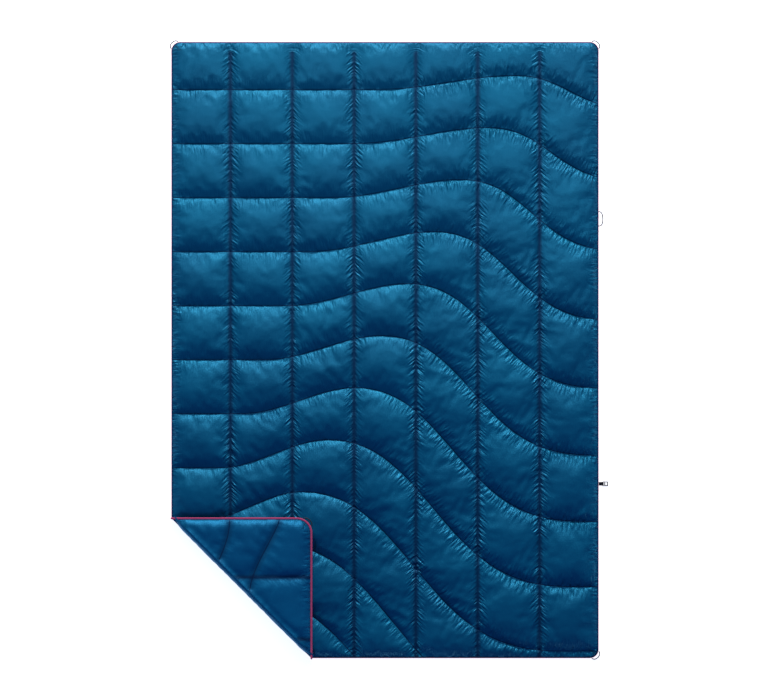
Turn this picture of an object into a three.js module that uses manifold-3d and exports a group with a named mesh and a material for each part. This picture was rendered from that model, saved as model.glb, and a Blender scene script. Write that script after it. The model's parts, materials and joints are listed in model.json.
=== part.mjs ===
// Quilted camp blanket laid flat, with its lower left corner folded back over the top,
// a cord loop at each corner, and a cape clip with its cord loop on the right hem.
// Millimetres, +X to the right, +Y to the head end, +Z up, origin under the middle of the blanket.
import * as THREE from 'three';
import { mergeVertices } from 'three/addons/utils/BufferGeometryUtils.js';
import Module from 'manifold-3d';

// Overall sizes
const blanketWidth = 1321;
const blanketLength = 1905;
const quiltLoft = 25;
const cornerRadius = 28;

// Folded corner
const foldLeg = 437;
const flapCornerRadius = 48;
const layerGap = 0.4;
const foldCutGap = 0.3;

// Shells and hem
const shellWall = 2.4;
const rimRun = 32;
const hemRise = 6;
const pipingWidth = 6;
const pipingThickness = 3;
const faceOverPiping = 1;
const fitGap = 0.3;

// Quilting: column seams, and wave seams numbered from the head end
const columnCount = 7;
const outerColumnWidth = 183;
const waveCount = 11;
const firstWave = 147;
const lastWaveFromFoot = 88;
const waveStart = { first: 645, step: -70.2 };
const waveCrest = { first: 1059, step: -82.1 };
const waveRise = { first: 43, step: 6.2 };
const waveTrough = { first: 1467, step: -33 };
const waveDrop = { first: 64, step: 53.5, curve: -1.44 };
const waveSlopePower = 1.94;
const waveSlopeBias = 0.68;
const seamGap = 10;
const columnNotchWidth = 14;
const fillWebThickness = 6;
const waveGrooveDepth = 1.2;
const columnGrooveDepth = 1.9;
const grooveFlare = 2.5;
const threadWidth = 1.2;
const threadHeight = 0.5;
const threadLift = 0.6;

// Cord loops
const cordDiameter = 3;
const cornerLoopBulge = 8.5;
const cornerLoopAngle = 32;
const flapLoopAngle = 20;
const loopShoulder = 0.7;
const capeLoopSpan = 44;
const capeLoopReach = 13;
const capeLoopFromTop = 547;

// Cape clip
const clipFromTop = 1366;
const webbingWidth = 11;
const webbingPly = 1;
const webbingReach = 13;
const barDiameter = 2;
const clipLength = 17;
const clipSideRail = 1.2;
const clipThickness = 4.4;
const clipRail = 2.2;
const strapSlotLength = 3.4;
const hookWall = 2.4;
const gateLength = 6.4;
const gateGap = 0.4;
const gateRadius = 1;

// Sizes that follow from the ones above
const right = blanketWidth / 2;
const top = blanketLength / 2;
const wavePitch = (blanketLength - firstWave - lastWaveFromFoot) / (waveCount - 1);
const clipWidth = webbingWidth + 2 * fitGap + 2 * clipSideRail;
const flapZ = quiltLoft + layerGap;
const foldAxisZ = quiltLoft + layerGap / 2;

const wasm = await Module();
wasm.setup();

const blanket = new THREE.Group();
const foldAxis = new THREE.Vector3(1, -1, 0).normalize();
const foldNormal = new THREE.Vector3(1, 1, 0).normalize();
const foldPoint = new THREE.Vector3(-right, -top + foldLeg, foldAxisZ);
const openFlap = new THREE.Matrix4();
openFlap.makeTranslation(foldPoint.x, foldPoint.y, foldPoint.z);
openFlap.multiply(new THREE.Matrix4().makeRotationAxis(foldAxis, Math.PI));
openFlap.multiply(new THREE.Matrix4().makeTranslation(-foldPoint.x, -foldPoint.y, -foldPoint.z));

const finishes = {
  faceNylon: { color: 0x0b5a86, roughness: 0.36, metalness: 0 },
  backNylon: { color: 0x0a4f7c, roughness: 0.42, metalness: 0 },
  fill: { color: 0xe9e7df, roughness: 1, metalness: 0 },
  thread: { color: 0x083a63, roughness: 0.6, metalness: 0 },
  piping: { color: 0xc23a56, roughness: 0.6, metalness: 0 },
  cord: { color: 0x16181b, roughness: 0.7, metalness: 0 },
  webbing: { color: 0x121316, roughness: 0.8, metalness: 0 },
  plastic: { color: 0x0d0e10, roughness: 0.4, metalness: 0 },
};

function addPiece(name, geometry, finish) {
  const mesh = new THREE.Mesh(geometry, new THREE.MeshStandardMaterial(finishes[finish]));
  mesh.name = name;
  blanket.add(mesh);
  return mesh;
}

function toSolid(geometry) {
  const plain = geometry.clone();
  plain.deleteAttribute('normal');
  plain.deleteAttribute('uv');
  const merged = mergeVertices(plain, 1e-4);
  return new wasm.Manifold(new wasm.Mesh({
    numProp: 3,
    vertProperties: new Float32Array(merged.attributes.position.array),
    triVerts: new Uint32Array(merged.index.array),
  }));
}

function toGeometry(solid) {
  const mesh = solid.getMesh();
  const geometry = new THREE.BufferGeometry();
  geometry.setAttribute('position', new THREE.BufferAttribute(mesh.vertProperties.slice(), 3));
  geometry.setIndex(new THREE.BufferAttribute(mesh.triVerts.slice(), 1));
  geometry.computeVertexNormals();
  return geometry;
}

// A closed body from a stack of rings with equal point counts, counter-clockwise seen from the end.
function ringStack(rings) {
  const count = rings[0].length;
  const positions = rings.flat().flatMap((point) => [point.x, point.y, point.z]);
  const index = [];
  for (let level = 0; level < rings.length - 1; level += 1) {
    for (let i = 0; i < count; i += 1) {
      const a = level * count + i;
      const b = level * count + (i + 1) % count;
      index.push(a, b, b + count, a, b + count, a + count);
    }
  }
  const last = (rings.length - 1) * count;
  for (let i = 1; i < count - 1; i += 1) {
    index.push(0, i + 1, i);
    index.push(last, last + i, last + i + 1);
  }
  const geometry = new THREE.BufferGeometry();
  geometry.setAttribute('position', new THREE.Float32BufferAttribute(positions, 3));
  geometry.setIndex(index);
  return geometry;
}

// Rounded rectangle ring: each side moved in by inset, each corner an arc.
function roundedRing(box, radius, inset, z) {
  const arcSteps = 6;
  const r = Math.max(radius - inset, 3);
  const corners = [
    [box.x1 - inset - r, box.y1 - inset - r],
    [box.x0 + inset + r, box.y1 - inset - r],
    [box.x0 + inset + r, box.y0 + inset + r],
    [box.x1 - inset - r, box.y0 + inset + r],
  ];
  const ring = [];
  corners.forEach(([cx, cy], quarter) => {
    for (let step = 0; step <= arcSteps; step += 1) {
      const angle = (quarter + step / arcSteps) * Math.PI / 2;
      ring.push(new THREE.Vector3(cx + r * Math.cos(angle), cy + r * Math.sin(angle), z));
    }
  });
  return ring;
}

function hull(box, radius, levels) {
  return toSolid(ringStack(levels.map((level) => roundedRing(box, radius, level.inset, level.z))));
}

// Long block beyond the fold line; what it cuts ends at the fold.
function foldCutter() {
  const reach = 3 * (blanketWidth + blanketLength);
  const block = new THREE.BoxGeometry(reach, reach, reach);
  block.rotateZ(Math.PI / 4);
  const centre = foldPoint.clone().addScaledVector(foldNormal, foldCutGap - reach / 2);
  block.translate(centre.x, centre.y, 0);
  return toSolid(block);
}

const cutCorner = foldCutter();

// Wave seams, measured across from the left hem and down from the head hem
function waveDepth(line, across) {
  const n = line - 1;
  const flat = firstWave + wavePitch * n;
  const start = waveStart.first + waveStart.step * n;
  const crest = waveCrest.first + waveCrest.step * n;
  const rise = waveRise.first + waveRise.step * n;
  const trough = waveTrough.first + waveTrough.step * n;
  const drop = waveDrop.first + waveDrop.step * n + waveDrop.curve * n * n;
  if (across < crest) {
    const t = THREE.MathUtils.clamp((across - start) / (crest - start), 0, 1);
    return flat - rise * t * t * (3 - 2 * t);
  }
  const t = THREE.MathUtils.clamp((across - crest) / (trough - crest), 0, 1);
  const fallen = t ** waveSlopePower;
  const left = waveSlopeBias * (1 - t) ** waveSlopePower;
  return flat - rise + (rise + drop) * fallen / (fallen + left);
}

const seamMargin = 60;
const waveSteps = 18;

function wavePath(line) {
  const start = Math.max(waveStart.first + waveStart.step * (line - 1), 0);
  const points = [new THREE.Vector2(-right - seamMargin, top - waveDepth(line, -seamMargin))];
  for (let step = 0; step <= waveSteps; step += 1) {
    const across = start + (blanketWidth + seamMargin - start) * step / waveSteps;
    points.push(new THREE.Vector2(-right + across, top - waveDepth(line, across)));
  }
  return points;
}

function columnX(column) {
  const inner = (blanketWidth - 2 * outerColumnWidth) / (columnCount - 2);
  return -right + outerColumnWidth + inner * (column - 1);
}

function columnPath(column) {
  const x = columnX(column);
  return [new THREE.Vector2(x, top + seamMargin), new THREE.Vector2(x, -top - seamMargin)];
}

// A bar along a path in plan; section holds [half width, z] pairs, lowest and left first.
function pathBar(path, section) {
  const rings = path.map((point, i) => {
    const before = path[Math.max(i - 1, 0)];
    const after = path[Math.min(i + 1, path.length - 1)];
    const side = after.clone().sub(before).normalize();
    side.set(-side.y, side.x);
    return section.map(([out, z]) => new THREE.Vector3(point.x + side.x * out, point.y + side.y * out, z));
  });
  return toSolid(ringStack(rings));
}

function grooveBar(path, surfaceZ, depth, faceUp) {
  const way = faceUp ? 1 : -1;
  const mouth = 1;
  const halfMouth = (depth + mouth) * grooveFlare;
  const section = [[0, surfaceZ - way * depth], [halfMouth, surfaceZ + mouth * way],
    [-halfMouth, surfaceZ + mouth * way]];
  return pathBar(path, faceUp ? section : section.reverse());
}

function threadBar(path, surfaceZ, depth) {
  const low = surfaceZ - depth + threadLift;
  const half = threadWidth / 2;
  return pathBar(path, [[half, low], [half, low + threadHeight], [-half, low + threadHeight], [-half, low]]);
}

// Main panel, seen as a low dish (back fabric) and a tall dish (face fabric) around the fill.
const mainBox = { x0: -right, y0: -top, x1: right, y1: top };
const backEdge = pipingWidth + fitGap;
const flangeEnd = backEdge + shellWall + fitGap;
const plateInset = flangeEnd + rimRun;
const flangeZ = hemRise + fitGap;

function tallDish(box, radius, base, edgeInset) {
  const outside = hull(box, radius, [
    { inset: edgeInset, z: base + flangeZ },
    { inset: edgeInset, z: base + flangeZ + shellWall },
    { inset: flangeEnd, z: base + flangeZ + shellWall },
    { inset: plateInset, z: base + quiltLoft },
  ]);
  const inside = hull(box, radius, [
    { inset: flangeEnd + shellWall, z: base + flangeZ - 1 },
    { inset: flangeEnd + shellWall, z: base + flangeZ + shellWall / 2 },
    { inset: plateInset + shellWall, z: base + quiltLoft - shellWall },
  ]);
  return outside.subtract(inside);
}

function lowDish(box, radius, base, edgeInset) {
  const outside = hull(box, radius, [
    { inset: edgeInset + hemRise, z: base },
    { inset: edgeInset, z: base + hemRise },
  ]);
  const inside = hull(box, radius, [
    { inset: edgeInset + hemRise + shellWall, z: base + shellWall },
    { inset: edgeInset + shellWall, z: base + hemRise + 1 },
  ]);
  return outside.subtract(inside);
}

function fillBlock(box, radius, base) {
  const clear = flangeEnd + 2 * shellWall + 2 * fitGap;
  return hull(box, radius, [
    { inset: clear + fitGap, z: base + shellWall + fitGap },
    { inset: clear, z: base + hemRise + shellWall },
    { inset: plateInset + shellWall + fitGap, z: base + quiltLoft - shellWall - fitGap },
  ]);
}

function wavePrism(upper, lower) {
  const outline = [];
  const beyond = blanketLength;
  const upperPath = upper > 0 ? wavePath(upper) : null;
  const lowerPath = lower <= waveCount ? wavePath(lower) : null;
  const leftX = -right - seamMargin;
  const rightX = right + seamMargin;
  if (upperPath) {
    upperPath.forEach((point) => outline.push([point.x, point.y - seamGap / 2]));
  } else {
    outline.push([leftX, beyond], [rightX, beyond]);
  }
  if (lowerPath) {
    lowerPath.reverse().forEach((point) => outline.push([point.x, point.y + seamGap / 2]));
  } else {
    outline.push([rightX, -beyond], [leftX, -beyond]);
  }
  const shape = new THREE.Shape(outline.map(([x, y]) => new THREE.Vector2(x, y)));
  const prism = new THREE.ExtrudeGeometry(shape, { depth: 4 * quiltLoft, bevelEnabled: false });
  prism.translate(0, 0, -quiltLoft);
  return toSolid(prism);
}

// Blocks that notch a fill row at each column seam, above and below its thin web.
function columnNotches(base) {
  const middle = base + quiltLoft / 2;
  const notches = [];
  for (let column = 1; column < columnCount; column += 1) {
    for (const way of [1, -1]) {
      const notch = new THREE.BoxGeometry(columnNotchWidth, 2 * blanketLength, quiltLoft);
      notch.translate(columnX(column), 0, middle + way * (quiltLoft + fillWebThickness) / 2);
      notches.push(toSolid(notch));
    }
  }
  return notches;
}

function twoDigits(number) {
  return String(number).padStart(2, '0');
}

function largestPart(solid) {
  const parts = solid.decompose();
  return parts.reduce((best, part) => (part.volume() > best.volume() ? part : best));
}

function mainPanel() {
  let face = tallDish(mainBox, cornerRadius, 0, faceOverPiping);
  for (let line = 1; line <= waveCount; line += 1) {
    face = face.subtract(grooveBar(wavePath(line), quiltLoft, waveGrooveDepth, true));
  }
  for (let column = 1; column < columnCount; column += 1) {
    face = face.subtract(grooveBar(columnPath(column), quiltLoft, columnGrooveDepth, true));
  }
  addPiece('face_shell', toGeometry(face.subtract(cutCorner)), 'faceNylon');
  const back = lowDish(mainBox, cornerRadius, 0, backEdge).subtract(cutCorner);
  addPiece('back_shell', toGeometry(back), 'backNylon');
}

function mainFill() {
  let block = fillBlock(mainBox, cornerRadius, 0).subtract(cutCorner);
  columnNotches(0).forEach((notch) => {
    block = block.subtract(notch);
  });
  for (let row = 1; row <= waveCount + 1; row += 1) {
    const piece = largestPart(block.intersect(wavePrism(row - 1, row)));
    addPiece(`fill_row_${twoDigits(row)}`, toGeometry(piece), 'fill');
  }
}

// The thread stays on the flat top of the face shell.
function threadZone(box, radius, low, high) {
  return hull(box, radius, [{ inset: plateInset, z: low }, { inset: plateInset, z: high }]);
}

function mainStitching() {
  const zone = threadZone(mainBox, cornerRadius, 0, quiltLoft).subtract(cutCorner);
  for (let line = 1; line <= waveCount; line += 1) {
    const thread = threadBar(wavePath(line), quiltLoft, waveGrooveDepth).intersect(zone);
    addPiece(`wave_stitch_${twoDigits(line)}`, toGeometry(largestPart(thread)), 'thread');
  }
  for (let column = 1; column < columnCount; column += 1) {
    const thread = threadBar(columnPath(column), quiltLoft, columnGrooveDepth).intersect(zone);
    addPiece(`column_stitch_${column}`, toGeometry(thread), 'thread');
  }
}

function pipingRing(box, radius, lowZ) {
  const outside = hull(box, radius, [{ inset: 0, z: lowZ }, { inset: 0, z: lowZ + pipingThickness }]);
  const inside = hull(box, radius, [
    { inset: pipingWidth, z: lowZ - 1 },
    { inset: pipingWidth, z: lowZ + pipingThickness + 1 },
  ]);
  return outside.subtract(inside);
}

function mainPiping() {
  const ring = pipingRing(mainBox, cornerRadius, hemRise - pipingThickness).subtract(cutCorner);
  addPiece('edge_piping', toGeometry(largestPart(ring)), 'piping');
}

// Folded corner: a square whose upper right corner is the blanket's own corner, cut at the fold.
const flapTip = new THREE.Vector2(-right + foldLeg, -top + foldLeg);
const flapBox = {
  x0: flapTip.x - 2 * foldLeg, y0: flapTip.y - 2 * foldLeg, x1: flapTip.x, y1: flapTip.y,
};

function foldOver(solid) {
  const geometry = toGeometry(solid);
  geometry.applyMatrix4(openFlap);
  return toSolid(geometry);
}

// The low dish lies on the blanket and carries the hem; the tall dish above stops at the piping.
function flapPanel() {
  const low = lowDish(flapBox, flapCornerRadius, flapZ, faceOverPiping);
  addPiece('flap_face_shell', toGeometry(low.subtract(cutCorner)), 'faceNylon');
  const roof = flapZ + quiltLoft;
  const outside = hull(flapBox, flapCornerRadius, [
    { inset: backEdge, z: flapZ + flangeZ },
    { inset: backEdge + rimRun, z: roof },
  ]);
  const inside = hull(flapBox, flapCornerRadius, [
    { inset: backEdge + shellWall, z: flapZ + flangeZ - 0.01 },
    { inset: backEdge + rimRun + shellWall, z: roof - shellWall },
  ]);
  let upper = outside.subtract(inside);
  flapWaveLines().forEach((line) => {
    upper = upper.subtract(foldOver(grooveBar(wavePath(line), 0, waveGrooveDepth, false)));
  });
  flapColumns().forEach((column) => {
    upper = upper.subtract(foldOver(grooveBar(columnPath(column), 0, columnGrooveDepth, false)));
  });
  addPiece('flap_back_shell', toGeometry(upper.subtract(cutCorner)), 'backNylon');
}

// Wave seams that cross the folded corner by at least a seam's margin
function flapWaveLines() {
  const lines = [];
  for (let line = 1; line <= waveCount; line += 1) {
    const fromFoot = blanketLength - waveDepth(line, 0);
    if (fromFoot < foldLeg - seamMargin) {
      lines.push(line);
    }
  }
  return lines;
}

function flapColumns() {
  const columns = [];
  for (let column = 1; column < columnCount; column += 1) {
    if (columnX(column) < flapTip.x - seamMargin) {
      columns.push(column);
    }
  }
  return columns;
}

function flapFill() {
  const foot = backEdge + shellWall + fitGap;
  let block = hull(flapBox, flapCornerRadius, [
    { inset: foot + shellWall, z: flapZ + shellWall + fitGap },
    { inset: foot + shellWall, z: flapZ + hemRise + fitGap },
    { inset: foot + rimRun, z: flapZ + quiltLoft - shellWall - fitGap },
  ]);
  columnNotches(0).forEach((notch) => {
    block = block.subtract(foldOver(notch));
  });
  block = block.subtract(cutCorner);
  const lines = flapWaveLines();
  const rows = [...lines, waveCount + 1];
  rows.forEach((row, i) => {
    const upper = i === 0 ? 0 : row - 1;
    const band = foldOver(wavePrism(upper, row));
    const piece = largestPart(block.intersect(band));
    addPiece(`flap_fill_row_${twoDigits(row)}`, toGeometry(piece), 'fill');
  });
}

function flapStitching() {
  const roof = flapZ + quiltLoft;
  const zone = hull(flapBox, flapCornerRadius, [
    { inset: backEdge + rimRun, z: flapZ },
    { inset: backEdge + rimRun, z: roof },
  ]).subtract(cutCorner);
  const flipped = (path) => path.map((point) => {
    const spot = new THREE.Vector3(point.x, point.y, 0).applyMatrix4(openFlap);
    return new THREE.Vector2(spot.x, spot.y);
  });
  flapWaveLines().forEach((line) => {
    const thread = threadBar(flipped(wavePath(line)), roof, waveGrooveDepth);
    const kept = largestPart(thread.intersect(zone));
    addPiece(`flap_wave_stitch_${twoDigits(line)}`, toGeometry(kept), 'thread');
  });
  flapColumns().forEach((column) => {
    const thread = threadBar(flipped(columnPath(column)), roof, columnGrooveDepth);
    const kept = largestPart(thread.intersect(zone));
    addPiece(`flap_column_stitch_${column}`, toGeometry(kept), 'thread');
  });
}

function flapPiping() {
  const low = flapZ + flangeZ;
  const ring = pipingRing(flapBox, flapCornerRadius, low).subtract(cutCorner);
  addPiece('flap_piping', toGeometry(largestPart(ring)), 'piping');
}

// Round cord along a curve, square cut ends
function cordGeometry(points, steps) {
  const curve = new THREE.CatmullRomCurve3(points, false, 'centripetal');
  const section = new THREE.Shape();
  const sides = 8;
  for (let i = 0; i < sides; i += 1) {
    const angle = 2 * Math.PI * i / sides;
    const x = cordDiameter / 2 * Math.cos(angle);
    const y = cordDiameter / 2 * Math.sin(angle);
    if (i === 0) {
      section.moveTo(x, y);
    } else {
      section.lineTo(x, y);
    }
  }
  section.closePath();
  return new THREE.ExtrudeGeometry(section, { steps, extrudePath: curve, bevelEnabled: false });
}

// A cord arc across a rounded corner; turn is the corner's outward direction in degrees.
function cornerLoop(name, cornerX, cornerY, radius, turn, halfAngle, z) {
  const out = THREE.MathUtils.degToRad(turn);
  const centreX = cornerX - Math.SQRT2 * radius * Math.cos(out);
  const centreY = cornerY - Math.SQRT2 * radius * Math.sin(out);
  const half = THREE.MathUtils.degToRad(halfAngle);
  const footRadius = radius + fitGap + cordDiameter / 2;
  const topRadius = radius + cornerLoopBulge;
  const along = footRadius * Math.sin(half);
  const foot = footRadius * Math.cos(half);
  const shoulder = foot + (topRadius - foot) * loopShoulder;
  const profile = [
    [foot, along],
    [shoulder, along * loopShoulder],
    [topRadius, 0],
    [shoulder, -along * loopShoulder],
    [foot, -along],
  ];
  const points = profile.map(([reach, aside]) => new THREE.Vector3(
    centreX + reach * Math.cos(out) - aside * Math.sin(out),
    centreY + reach * Math.sin(out) + aside * Math.cos(out),
    z,
  ));
  addPiece(name, cordGeometry(points, 20), 'cord');
}

function cornerLoops() {
  const z = hemRise - pipingThickness / 2;
  cornerLoop('corner_loop_top_left', -right, top, cornerRadius, 135, cornerLoopAngle, z);
  cornerLoop('corner_loop_top_right', right, top, cornerRadius, 45, cornerLoopAngle, z);
  cornerLoop('corner_loop_bottom_right', right, -top, cornerRadius, -45, cornerLoopAngle, z);
  const flapLoopZ = flapZ + flangeZ + pipingThickness / 2;
  cornerLoop('flap_corner_loop', flapTip.x, flapTip.y, flapCornerRadius, 45, flapLoopAngle, flapLoopZ);
}

// Cord loop on the right hem; it slopes down to lie on the ground.
function capeLoop() {
  const y = top - capeLoopFromTop;
  const x = right + fitGap;
  const hemZ = hemRise - pipingThickness / 2;
  const groundZ = cordDiameter / 2;
  const profile = [
    [0, 1, 0], [0.2, 1, 0], [0.6, 0.88, 0.5], [0.92, 0.48, 0.95], [1, 0, 1],
    [0.92, -0.48, 0.95], [0.6, -0.88, 0.5], [0.2, -1, 0], [0, -1, 0],
  ];
  const points = profile.map(([reach, aside, fall]) => new THREE.Vector3(
    x + reach * capeLoopReach,
    y + aside * capeLoopSpan / 2,
    hemZ + (groundZ - hemZ) * fall,
  ));
  addPiece('cape_loop', cordGeometry(points, 24), 'cord');
}

// Cape clip: its bar lies along Y at barX; the webbing wraps the bar and runs back to the hem.
const clipY = top - clipFromTop;
const barX = right + fitGap + webbingReach;
const barZ = clipThickness / 2;
const webbingHole = barDiameter / 2 + fitGap;

function webbing() {
  const hemZ = hemRise - pipingThickness / 2;
  const wrap = webbingHole + webbingPly;
  const wrapTurn = 0.7;
  const startX = right + fitGap;
  const shape = new THREE.Shape();
  shape.moveTo(startX, hemZ - webbingPly);
  shape.absarc(barX, barZ, wrap, Math.PI + wrapTurn, 3 * Math.PI - wrapTurn, false);
  shape.lineTo(startX, hemZ + webbingPly);
  shape.closePath();
  const hole = new THREE.Path();
  hole.absarc(barX, barZ, webbingHole, 0, 2 * Math.PI, true);
  shape.holes.push(hole);
  const strap = new THREE.ExtrudeGeometry(shape, {
    depth: webbingWidth, bevelEnabled: false, curveSegments: 8,
  });
  strap.rotateX(Math.PI / 2);
  strap.translate(0, clipY + webbingWidth / 2, 0);
  addPiece('clip_webbing', strap, 'webbing');
}

function slab(x0, x1, y0, y1, radius) {
  const shape = new THREE.Shape();
  shape.moveTo(x0 + radius, y0);
  shape.lineTo(x1 - radius, y0);
  shape.absarc(x1 - radius, y0 + radius, radius, -Math.PI / 2, 0, false);
  shape.lineTo(x1, y1 - radius);
  shape.absarc(x1 - radius, y1 - radius, radius, 0, Math.PI / 2, false);
  shape.lineTo(x0 + radius, y1);
  shape.absarc(x0 + radius, y1 - radius, radius, Math.PI / 2, Math.PI, false);
  shape.lineTo(x0, y0 + radius);
  shape.absarc(x0 + radius, y0 + radius, radius, Math.PI, 1.5 * Math.PI, false);
  return shape;
}

function slabSolid(x0, x1, y0, y1, radius, z0, z1) {
  const geometry = new THREE.ExtrudeGeometry(slab(x0, x1, y0, y1, radius), {
    depth: z1 - z0, bevelEnabled: false, curveSegments: 5,
  });
  geometry.translate(0, 0, z0);
  return toSolid(geometry);
}

function clipAndGate() {
  const x0 = barX - barDiameter / 2;
  const halfWidth = clipWidth / 2;
  const slotX1 = barX + barDiameter / 2 + strapSlotLength;
  const eyeX0 = slotX1 + clipRail;
  const eyeX1 = x0 + clipLength - hookWall;
  const slotHalf = webbingWidth / 2 + fitGap;
  const eyeHalf = halfWidth - hookWall;
  let body = slabSolid(x0, x0 + clipLength, clipY - halfWidth, clipY + halfWidth, 0.9, 0, clipThickness);
  const overTop = clipThickness + 1;
  body = body.subtract(slabSolid(x0 - 1, slotX1, clipY - slotHalf, clipY + slotHalf, 0.4, -1, overTop));
  body = body.subtract(slabSolid(eyeX0, eyeX1, clipY - eyeHalf, clipY + eyeHalf, 2.6, -1, overTop));
  const gateX0 = (eyeX0 + eyeX1 - gateLength) / 2;
  const gateX1 = gateX0 + gateLength;
  body = body.subtract(slabSolid(gateX0 - gateGap, gateX1 + gateGap, clipY + eyeHalf - 1,
    clipY + halfWidth + 1, 0.1, -1, overTop));
  const bar = new THREE.CylinderGeometry(barDiameter / 2, barDiameter / 2, clipWidth - hookWall, 12);
  bar.translate(barX, clipY, barZ);
  addPiece('clip_body', toGeometry(body.add(toSolid(bar))), 'plastic');
  const gateInset = 0.5;
  const gate = slabSolid(gateX0, gateX1, clipY + eyeHalf + 0.1, clipY + halfWidth - 0.2, gateRadius,
    gateInset, clipThickness - gateInset);
  addPiece('clip_gate', toGeometry(gate), 'plastic');
}

mainPanel();
mainFill();
mainStitching();
mainPiping();
flapPanel();
flapFill();
flapStitching();
flapPiping();
cornerLoops();
capeLoop();
webbing();
clipAndGate();

export default blanket;
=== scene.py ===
import bmesh
import bpy
import json
import math
import numpy as np
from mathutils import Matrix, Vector
from mathutils.geometry import delaunay_2d_cdt


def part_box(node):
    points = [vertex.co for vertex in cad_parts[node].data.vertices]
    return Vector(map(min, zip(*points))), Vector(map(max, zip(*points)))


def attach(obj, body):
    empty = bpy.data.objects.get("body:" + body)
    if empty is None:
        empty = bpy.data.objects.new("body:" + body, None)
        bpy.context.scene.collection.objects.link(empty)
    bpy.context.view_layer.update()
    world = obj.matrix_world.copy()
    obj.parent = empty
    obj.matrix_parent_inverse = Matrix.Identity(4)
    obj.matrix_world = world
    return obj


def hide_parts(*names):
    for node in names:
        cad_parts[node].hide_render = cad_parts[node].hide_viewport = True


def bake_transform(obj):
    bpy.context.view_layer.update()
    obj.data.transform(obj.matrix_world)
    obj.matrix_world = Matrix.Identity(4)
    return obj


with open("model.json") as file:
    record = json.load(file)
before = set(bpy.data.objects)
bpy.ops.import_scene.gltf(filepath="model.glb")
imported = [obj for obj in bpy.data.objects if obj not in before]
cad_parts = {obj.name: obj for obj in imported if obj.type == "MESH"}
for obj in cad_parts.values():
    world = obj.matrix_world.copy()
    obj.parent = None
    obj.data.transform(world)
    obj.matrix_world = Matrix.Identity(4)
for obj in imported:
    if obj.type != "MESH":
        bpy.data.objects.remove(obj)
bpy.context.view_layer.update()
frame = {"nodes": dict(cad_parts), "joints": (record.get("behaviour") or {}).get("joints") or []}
print("frame loaded")

# places read from the frame, in metres
halfWidth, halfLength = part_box("edge_piping")[1][:2]
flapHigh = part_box("flap_piping")[1]
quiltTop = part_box("face_shell")[1][2]
foldLeg = flapHigh[0] + halfWidth
joints = {joint["name"]: joint for joint in frame["joints"]}
foldZ = joints["corner_fold"]["pos_m"][2]
nodeNames = list(frame["nodes"])
draw = np.random.default_rng(11)  # random numbers come from here or from a ripple's own seed
farAway = 9.0  # stands for a distance to a seam that is nowhere near


# A shader socket that takes + - * and / as a number does
class Value:
    def __init__(self, finish, socket):
        self.finish = finish
        self.socket = socket

    def maths(self, operation, first, second=0.0):
        return self.finish.node("ShaderNodeMath", {"operation": operation}, {0: first, 1: second})

    def __add__(self, other):
        return self.maths("ADD", self, other)

    def __radd__(self, other):
        return self.maths("ADD", other, self)

    def __sub__(self, other):
        return self.maths("SUBTRACT", self, other)

    def __rsub__(self, other):
        return self.maths("SUBTRACT", other, self)

    def __mul__(self, other):
        return self.maths("MULTIPLY", self, other)

    def __rmul__(self, other):
        return self.maths("MULTIPLY", other, self)

    def __truediv__(self, other):
        return self.maths("DIVIDE", self, other)

    def __rtruediv__(self, other):
        return self.maths("DIVIDE", other, self)

    def sine(self):
        return self.maths("SINE", self)

    def size(self):
        return self.maths("ABSOLUTE", self)

    def rise(self, low, high):  # 0 up to low, 1 from high on
        return self.finish.node("ShaderNodeMapRange", {"interpolation_type": "SMOOTHSTEP"},
                                {"Value": self, "From Min": low, "From Max": high})

    def fall(self, low, high):
        return 1 - self.rise(low, high)


class Finish:
    def __init__(self, name, **fixed):
        self.material = bpy.data.materials.new(name)
        self.material.use_nodes = True
        self.tree = self.material.node_tree
        self.shader = self.tree.nodes["Principled BSDF"]
        for socket, value in fixed.items():
            self.shader.inputs[socket.replace("_", " ")].default_value = value

    def node(self, kind, settings=None, inputs=None, output=0):
        made = self.tree.nodes.new(kind)
        for name, value in (settings or {}).items():
            setattr(made, name, value)
        for name, value in (inputs or {}).items():
            if isinstance(value, Value):
                self.tree.links.new(value.socket, made.inputs[name])
            else:
                made.inputs[name].default_value = value
        return Value(self, made.outputs[output])

    def place(self):
        return self.node("ShaderNodeTexCoord", output="Object")

    def parts(self, vector):
        split = self.node("ShaderNodeSeparateXYZ", None, {0: vector})
        return [Value(self, socket) for socket in split.socket.node.outputs]

    def along(self):  # the first number of the piece's own UV map, in metres
        return self.parts(self.node("ShaderNodeTexCoord", output="UV"))

    def attribute(self, name):
        return self.node("ShaderNodeAttribute", {"attribute_name": name}, output="Fac")

    def noise(self, vector, scale, detail=2.0, rough=0.5):
        return self.node("ShaderNodeTexNoise", None,
                         {"Vector": vector, "Scale": scale, "Detail": detail, "Roughness": rough})

    def streaks(self, along, off, pucker, other):  # ridges across a seam, about -1 to 1
        pitch, length = pucker
        lay = self.node("ShaderNodeCombineXYZ", None,
                        {0: self.attribute(along) / pitch, 1: off / length, 2: other * 9.0})
        return (self.noise(lay, 1.0, 2.0, 0.4) - 0.5) * 5.0

    def mix(self, amount, first, second):
        return self.node("ShaderNodeMix", {"data_type": "RGBA"},
                         {0: amount, 6: first, 7: second}, output=2)

    def feed(self, socket, value):
        self.tree.links.new(value.socket, self.shader.inputs[socket])

    def bump(self, height, distance, strength=1.0):
        self.feed("Normal", self.node("ShaderNodeBump", None,
                                      {"Height": height, "Distance": distance, "Strength": strength}))


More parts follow.
